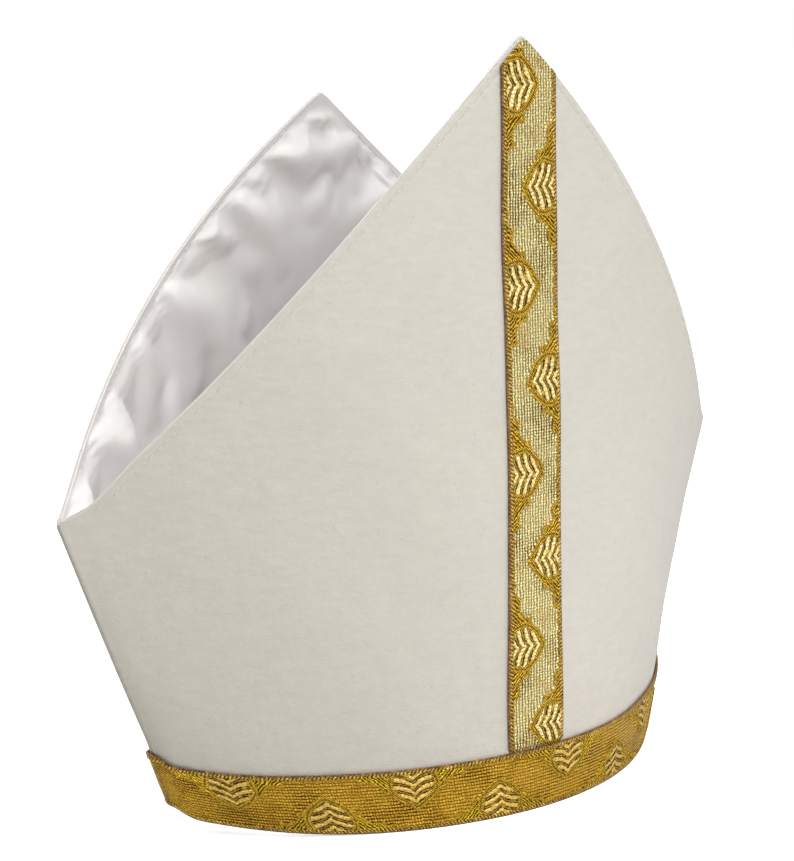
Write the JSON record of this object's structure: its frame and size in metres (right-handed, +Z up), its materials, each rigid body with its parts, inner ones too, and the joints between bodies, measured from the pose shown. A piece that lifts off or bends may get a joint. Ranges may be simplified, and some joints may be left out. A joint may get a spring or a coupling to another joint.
{
  "type": "bishop mitre",
  "caption": "Bishop's mitre: stiff ivory felt horns joined at the sides, lined with satin, with a gold galloon band round the base and a strip up each horn.",
  "frame": {"origin": "middle of the base, on the surface that the mitre stands on", "axes": "+Z up, front horn towards -Y, +X towards the side seam on the right as seen from the front"},
  "size_m": [0.332, 0.1592, 0.2991],
  "materials": {
    "ivory_felt": "matte brushed felt",
    "white_satin": "glossy satin",
    "gold_galloon": "woven metallic ribbon"
  },
  "bodies": {
    "root": {"front_panel": "ivory_felt", "back_panel": "ivory_felt", "front_lining": "white_satin", "back_lining": "white_satin", "base_band": "gold_galloon", "front_strip": "gold_galloon", "back_strip": "gold_galloon"}
  },
  "joints": []
}
